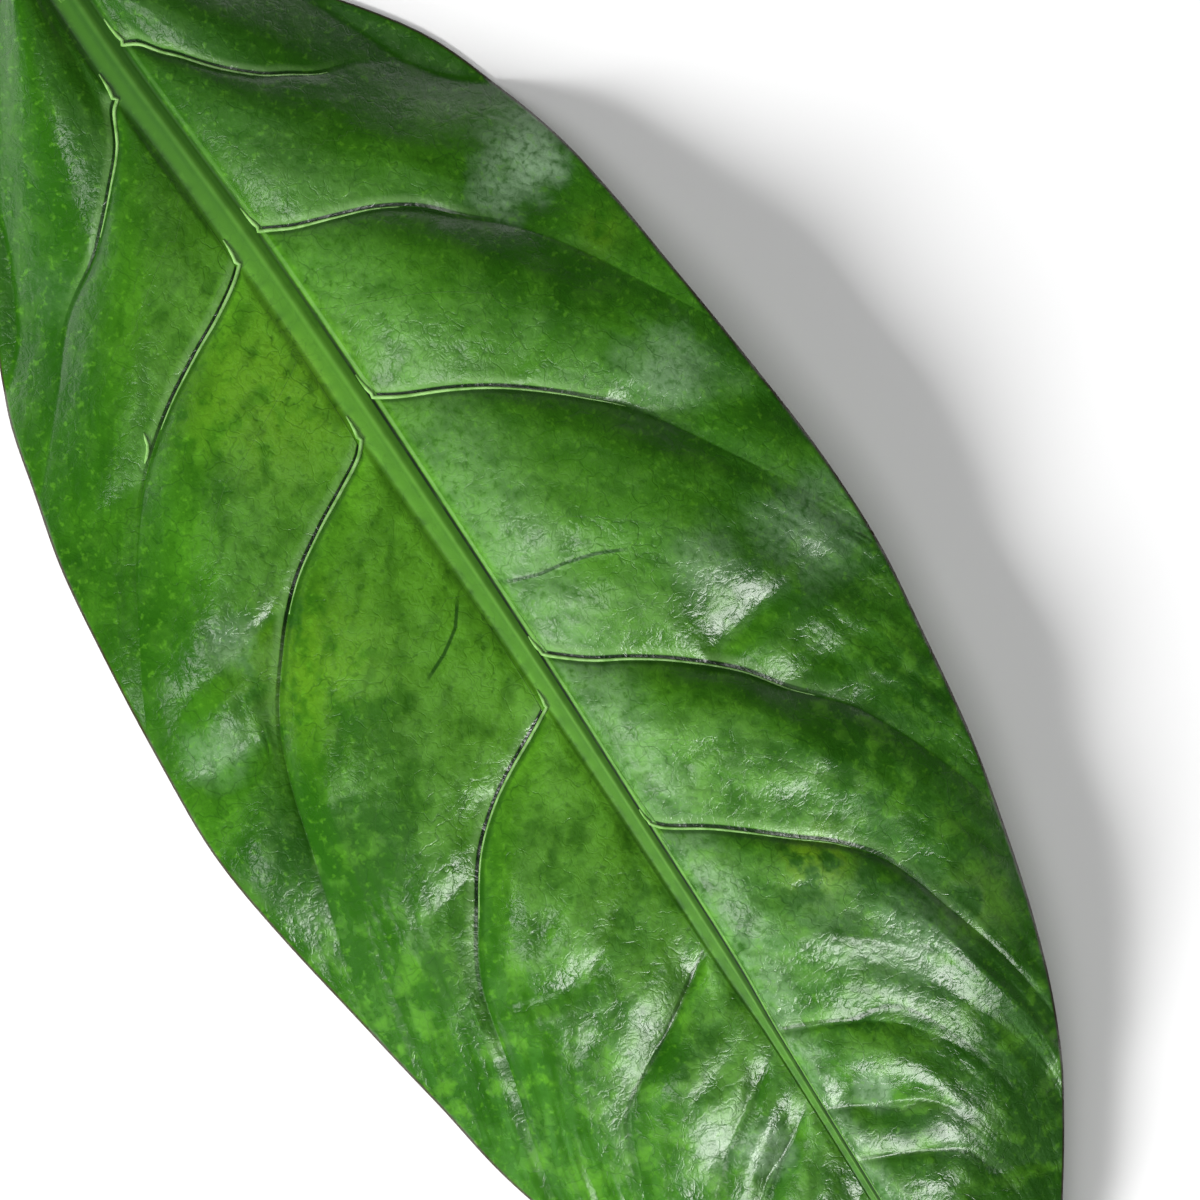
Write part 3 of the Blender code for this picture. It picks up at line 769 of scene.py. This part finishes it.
def bladeGreens(tree, t):
    f = bladeFinish
    share, across, along = t["share"], t["across"], t["along"]
    cloudy, patchy, speck, streak = t["cloudy"], t["patchy"], t["speck"], t["streak"]
    color = tint(tree, f["dark"], f["green"], rangeNode(tree, cloudy, 0.34, 0.62))

    # lighter beside the midrib, more on the left half and in the leaf's middle
    nearRib = rangeNode(tree, share, 0.0, 0.8, 1.0, 0.0)
    leftMore = rangeNode(tree, t["side"], -1.0, 1.0, 0.95, 0.55)
    fromBase = rangeNode(tree, along, 22.0, 60.0, 0.25, 1.0)
    middle = multiply(tree, fromBase, rangeNode(tree, along, 125.0, 175.0, 1.0, 0.45))
    uneven = rangeNode(tree, patchy, 0.28, 0.6, 0.55, 1.0)
    color = tint(tree, color, f["light"], nearRib, leftMore, middle, uneven)
    coolEnd = rangeNode(tree, along, 118.0, 165.0, 0.0, 0.6)
    color = tint(tree, color, f["cool"], coolEnd, rangeNode(tree, streak, 0.35, 0.65))
    # painted shade on the bank after each vein, on its tip side
    paintedShadeBank = rangeNode(tree, across, 0.0, 0.36, 0.62, 0.0)
    color = tint(tree, color, f["dark"], paintedShadeBank, rangeNode(tree, share, 0.1, 0.4))

    color = tint(tree, color, f["yellow"], t["yellowPatches"], rangeNode(tree, patchy, 0.36, 0.58))
    # painted highlights: pale patches that stand in for the leaf's shine
    color = tint(tree, color, f["paintedHighlight"], t["paintedHighlightPatches"], rangeNode(tree, speck, 0.3, 0.6, 0.55, 1.0))
    # darker patches, partly darker green and partly painted shade; the matte patches get a little painted
    # shade too
    color = tint(tree, color, f["dark"], t["darkGreenAndShadePatches"], 0.75)
    color = tint(tree, color, f["dark"], t["dullPatches"], 0.3)

    # a painted sheen right of the midrib, and painted shade that darkens the base
    paintedSheenBesideRib = band(tree, t["ribAcross"], 1.3, 2.0, 3.6, 9.0)
    stronger = rangeNode(tree, along, 58.0, 120.0, 0.1, 0.38)
    color = tint(tree, color, f["paintedHighlight"], paintedSheenBesideRib, stronger, rangeNode(tree, speck, 0.3, 0.6, 0.5, 1.0))
    base = rangeNode(tree, along, 26.0, 62.0, 0.8, 0.0)
    color = tint(tree, color, f["dark"], base, rangeNode(tree, patchy, 0.3, 0.6, 0.7, 1.0))

    # mottling, stronger towards the tip
    tipward = rangeNode(tree, along, 95.0, 150.0, 0.12, 0.5)
    color = tint(tree, color, f["light"], rangeNode(tree, patchy, 0.5, 0.66), tipward)
    color = tint(tree, color, f["dark"], rangeNode(tree, patchy, 0.34, 0.5, 1.0, 0.0), tipward)
    color = tint(tree, color, f["light"], rangeNode(tree, speck, 0.56, 0.78, 0.0, 0.4))
    color = tint(tree, color, f["dark"], rangeNode(tree, speck, 0.24, 0.42, 0.45, 0.0))
    color = tint(tree, color, f["dark"], rangeNode(tree, streak, 0.3, 0.5, 0.4, 0.0))
    fineNet = multiply(tree, t["fineLine"], rangeNode(tree, patchy, 0.44, 0.6, 0.0, 0.22))
    wideNet = multiply(tree, t["wideLine"], rangeNode(tree, cloudy, 0.4, 0.6, 0.1, 0.4))
    return tint(tree, color, f["netLine"], mathNode(tree, "MAXIMUM", fineNet, wideNet))


def veinLines(tree, t, color):
    # a near black painted shadow line in each vein's base-side crease, and a pale painted highlight rim
    # beyond it
    f = bladeFinish
    veinDist, veinFade, share = t["veinDist"], t["veinFade"], t["share"]
    color = tint(tree, color, f["paintedRimHighlight"], band(tree, veinDist, -1.9, -0.95, -0.72, -0.55), veinFade, 0.45)
    # a softer painted shade line on the vein's tip side
    color = tint(tree, color, f["netLine"], band(tree, veinDist, 0.1, 0.26, 0.42, 0.85), veinFade, 0.6)
    outwards = rangeNode(tree, share, 0.6, 0.9, 0.3, 0.0)
    color = tint(tree, color, f["netLine"], band(tree, veinDist, -0.42, -0.1, 0.1, 0.42), outwards)
    small = band(tree, t["smallDist"], -0.32, -0.12, 0.12, 0.32)
    color = tint(tree, color, f["netLine"], small, t["smallFade"], 0.85)
    return tint(tree, color, f["paintedCreaseShadow"], band(tree, veinDist, -0.66, -0.5, -0.2, -0.06), veinFade, 0.97)


def midribLines(tree, t, color):
    # soft painted shade towards the left half, a crisp painted shadow line and a pale painted highlight line
    # towards the right half
    f = bladeFinish
    ribAcross, along = t["ribAcross"], t["along"]
    fromTip = rangeNode(tree, along, 140.0, 185.0, 1.0, 0.35)
    onRib = multiply(tree, band(tree, ribAcross, -0.9, -0.2, 0.96, 1.06), fromTip)
    color = tint(tree, color, f["midrib"], onRib, 0.66)
    # painted shade: the midrib darker towards the base
    color = tint(tree, color, f["dark"], onRib, rangeNode(tree, along, 18.0, 70.0, 0.6, 0.0))
    color = tint(tree, color, f["midribPaintedShade"], band(tree, ribAcross, -0.9, -0.55, -0.3, 0.0), 0.4)
    # a painted highlight along the midrib's ridge line
    ridge = band(tree, ribAcross, 0.02, 0.26, 0.4, 0.66)
    streaky = rangeNode(tree, t["streak"], 0.3, 0.6, 0.55, 0.95)
    color = tint(tree, color, f["midribRidgeHighlight"], ridge, streaky, rangeNode(tree, along, 25.0, 75.0, 0.4, 1.0))
    uneven = rangeNode(tree, t["patchy"], 0.25, 0.5, 0.75, 1.0)
    lineGrows = multiply(tree, rangeNode(tree, along, 30.0, 78.0, 0.25, 1.0), uneven)
    color = tint(tree, color, f["paintedRimHighlight"], band(tree, ribAcross, 1.14, 1.22, 1.32, 1.46), lineGrows, 0.6)
    return tint(tree, color, f["paintedCreaseShadow"], band(tree, ribAcross, 0.86, 0.96, 1.06, 1.17), lineGrows)


def makeBladeMaterial(offset):
    f = bladeFinish
    material, tree, shader = newMaterial("leafGloss")
    t = bladeTextures(tree, offset)
    color = midribLines(tree, t, veinLines(tree, t, bladeGreens(tree, t)))
    # thin dark edge, then the paler lower face
    color = tint(tree, color, f["edge"], rangeNode(tree, t["edgeDist"], 0.12, 0.42, 0.92, 0.0))
    color = tint(tree, color, f["under"], rangeNode(tree, t["lower"], 0.45, 0.75), 0.85)
    tree.links.new(color, shader.inputs["Base Color"])

    # gloss: the midrib and the dull patches are rougher, and the patches shine less
    fromRib = mathNode(tree, "ABSOLUTE", t["ribAcross"])
    rough = rangeNode(tree, t["patchy"], 0.3, 0.7, *f["roughness"])
    rough = mathNode(tree, "MAXIMUM", rough, rangeNode(tree, fromRib, 1.0, 1.4, 0.55, 0.0))
    rough = mathNode(tree, "MAXIMUM", rough, multiply(tree, t["dullPatches"], 0.45))
    tree.links.new(rough, shader.inputs["Roughness"])
    specular = rangeNode(tree, t["dullPatches"], 0.0, 1.0, *f["specular"])
    tree.links.new(specular, shader.inputs["Specular IOR Level"])
    shader.inputs["IOR"].default_value = f["indexOfRefraction"]

    # relief of the nets and of the skin between them, weak on the midrib
    height = 0.0
    for name, amount in f["relief"].items():
        height = mathNode(tree, "ADD", height, multiply(tree, t[name], amount))
    height = multiply(tree, height, rangeNode(tree, fromRib, 1.0, 1.5, 0.15, 1.0))
    relief = {"Height": height, "Strength": f["reliefStrength"], "Distance": f["reliefDistance"]}
    tree.links.new(addNode(tree, "ShaderNodeBump", relief).outputs["Normal"], shader.inputs["Normal"])
    return material


threadFinish = {
    "pale": (0.25, 0.47, 0.14, 1.0),
    "green": (0.12, 0.29, 0.05, 1.0),
    "grainScale": 700.0,
    "roughness": (0.36, 0.5),
    "relief": {"Strength": 0.4, "Distance": 0.0001},
}


def makeThreadMaterial():
    f = threadFinish
    material, tree, shader = newMaterial("veinThread")
    grain = noiseNode(tree, addNode(tree, "ShaderNodeTexCoord").outputs["Object"], f["grainScale"], 3.0)
    color = tint(tree, f["pale"], f["green"], rangeNode(tree, grain, 0.35, 0.7))
    tree.links.new(color, shader.inputs["Base Color"])
    tree.links.new(rangeNode(tree, grain, 0.3, 0.7, *f["roughness"]), shader.inputs["Roughness"])
    bump = addNode(tree, "ShaderNodeBump", {"Height": grain, **f["relief"]})
    tree.links.new(bump.outputs["Normal"], shader.inputs["Normal"])
    return material


stalkFinish = {
    "green": (0.10, 0.235, 0.035, 1.0),
    "shade": (0.045, 0.13, 0.018, 1.0),
    "cut": (0.42, 0.46, 0.20, 1.0),
    "cutEdge": (0.16, 0.12, 0.05, 1.0),
    "fibreScale": (60.0, 1400.0, 1400.0),
    "blotchScale": 160.0,
    "roughness": (0.36, 0.52),
    "relief": {"Strength": 0.5, "Distance": 0.00015},
}


def makeStalkMaterial(cutX):
    f = stalkFinish
    material, tree, shader = newMaterial("stalkGreen")
    place = addNode(tree, "ShaderNodeTexCoord").outputs["Object"]
    stretched = addNode(tree, "ShaderNodeMapping", {"Vector": place, "Scale": f["fibreScale"]}).outputs[0]
    fibre = noiseNode(tree, stretched, 1.0, 3.0)
    blotch = noiseNode(tree, place, f["blotchScale"], 3.0)
    color = tint(tree, f["shade"], f["green"], rangeNode(tree, fibre, 0.35, 0.65))
    color = tint(tree, color, f["shade"], rangeNode(tree, blotch, 0.45, 0.75, 0.0, 0.5))
    along = addNode(tree, "ShaderNodeSeparateXYZ", {"Vector": place}).outputs["X"]
    nearCut = rangeNode(tree, along, cutX + 0.1 * mm, cutX + 1.2 * mm, 0.8, 0.0)
    color = tint(tree, color, f["cutEdge"], nearCut)
    onCut = rangeNode(tree, along, cutX + 0.02 * mm, cutX + 0.12 * mm, 1.0, 0.0)
    color = tint(tree, color, f["cut"], onCut)
    tree.links.new(color, shader.inputs["Base Color"])
    tree.links.new(rangeNode(tree, fibre, 0.3, 0.7, *f["roughness"]), shader.inputs["Roughness"])
    bump = addNode(tree, "ShaderNodeBump", {"Height": fibre, **f["relief"]})
    tree.links.new(bump.outputs["Normal"], shader.inputs["Normal"])
    return material


# Pieces in place

def finishPiece(name, bm, offset, material):
    bmesh.ops.translate(bm, vec=offset, verts=bm.verts[:])
    mesh = bpy.data.meshes.new(name)
    bm.to_mesh(mesh)
    bm.free()
    mesh.shade_smooth()
    piece = bpy.data.objects.new(name, mesh)
    scene.collection.objects.link(piece)
    mesh.materials.append(material)
    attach(piece, "root")
    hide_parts("leaf")
    print(name, "made with", len(mesh.polygons), "faces")


bladeMesh = makeBlade()
stalkMesh = makeStalk()
threadMesh = tubeMesh("lateralVeins", threadPaths(BVHTree.FromBMesh(bladeMesh)), 2)
low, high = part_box("leaf")
wide = [vert.co.y for vert in bladeMesh.verts]
offset = Vector((high[0] - leaf["length"] * mm, (low[1] + high[1] - min(wide) - max(wide)) / 2, 0.0))
finishPiece("blade", bladeMesh, offset, makeBladeMaterial(offset))
finishPiece("lateralVeins", threadMesh, offset, makeThreadMaterial())
finishPiece("stalk", stalkMesh, offset, makeStalkMaterial(low[0]))


# Floor, light and camera

view = {
    "centre": (99.03 + 11.875, 13.24),  # photo's middle, mm from the blade's base and from the long axis
    "turn": math.atan2(0.83162, 0.55534),  # photo's right edge lies this far round from the long axis
    "width": 150.0,
    "height": 12.0,  # the level that the photo's scale is true for
    "lens": 250.0,
    "sensor": 36.0,
}


studio = {
    "floorSize": 2.5,  # half of its side
    "floorDrop": 0.0002,  # keeps the leaf and the floor apart
    "floorWhite": 0.9,
    "lightCentre": (0.01, 0.0, 0.01),
}


def aimedLight(name, direction, zenith, distance, size, power):
    data = bpy.data.lights.new(name, "AREA")
    data.shape = "RECTANGLE"
    data.size, data.size_y = size
    data.energy = power
    light = bpy.data.objects.new(name, data)
    scene.collection.objects.link(light)
    flat = Vector((direction[0], direction[1], 0.0)).normalized()
    aim = flat * math.sin(zenith) + Vector((0, 0, math.cos(zenith)))
    light.location = aim * distance + Vector(studio["lightCentre"])
    light.rotation_euler = aim.to_track_quat("Z", "Y").to_euler()
    return light


def makeStage():
    bm = bmesh.new()
    bmesh.ops.create_grid(bm, x_segments=1, y_segments=1, size=studio["floorSize"])
    bmesh.ops.translate(bm, vec=(0, 0, -studio["floorDrop"]), verts=bm.verts[:])
    mesh = bpy.data.meshes.new("floor")
    bm.to_mesh(mesh)
    bm.free()
    floor = bpy.data.objects.new("floor", mesh)
    scene.collection.objects.link(floor)
    material, tree, shader = newMaterial("whiteFloor")
    white = studio["floorWhite"]
    shader.inputs["Base Color"].default_value = (white, white, white, 1.0)
    shader.inputs["Roughness"].default_value = 0.9
    shader.inputs["Specular IOR Level"].default_value = 0.0
    mesh.materials.append(material)

    # the room is bright low down and dark overhead, so that only the softboxes shine in the leaf
    world = bpy.data.worlds.new("studio")
    world.use_nodes = True
    tree = world.node_tree
    direction = addNode(tree, "ShaderNodeTexCoord").outputs["Generated"]
    upward = addNode(tree, "ShaderNodeSeparateXYZ", {"Vector": direction}).outputs["Z"]
    glow = rangeNode(tree, upward, 0.12, 0.5, 0.3, 0.03)
    tree.links.new(glow, tree.nodes["Background"].inputs["Strength"])
    tree.nodes["Background"].inputs["Color"].default_value = (1.0, 1.0, 1.0, 1.0)
    scene.world = world

    # the first two light the leaf, the other two draw its shine
    for light in (
        aimedLight("keySoftbox", (0.1, -1.0), math.radians(58), 1.2, (0.60, 0.60), 25.0),
        aimedLight("ceiling", (1.0, 0.0), 0.0, 1.6, (1.3, 1.3), 13.0),
    ):
        light.visible_glossy = False
    for light in (
        aimedLight("tipSoftbox", (1.0, 0.0), math.radians(43), 1.2, (0.75, 0.26), 11.5),
        aimedLight("rimSoftbox", (0.2, -1.0), math.radians(22), 1.2, (0.44, 0.16), 2.0),
    ):
        light.visible_diffuse = False


def makeCamera(offset):
    data = bpy.data.cameras.new("photoCamera")
    data.lens = view["lens"]
    data.sensor_width = view["sensor"]
    camera = bpy.data.objects.new("photoCamera", data)
    scene.collection.objects.link(camera)
    distance = view["width"] * view["lens"] / view["sensor"]
    x, y = view["centre"]
    camera.location = Vector((x * mm, y * mm, (view["height"] + distance) * mm)) + offset
    camera.rotation_euler = (0.0, 0.0, view["turn"])
    scene.camera = camera


makeStage()
makeCamera(offset)
print("stage, lights and camera made")
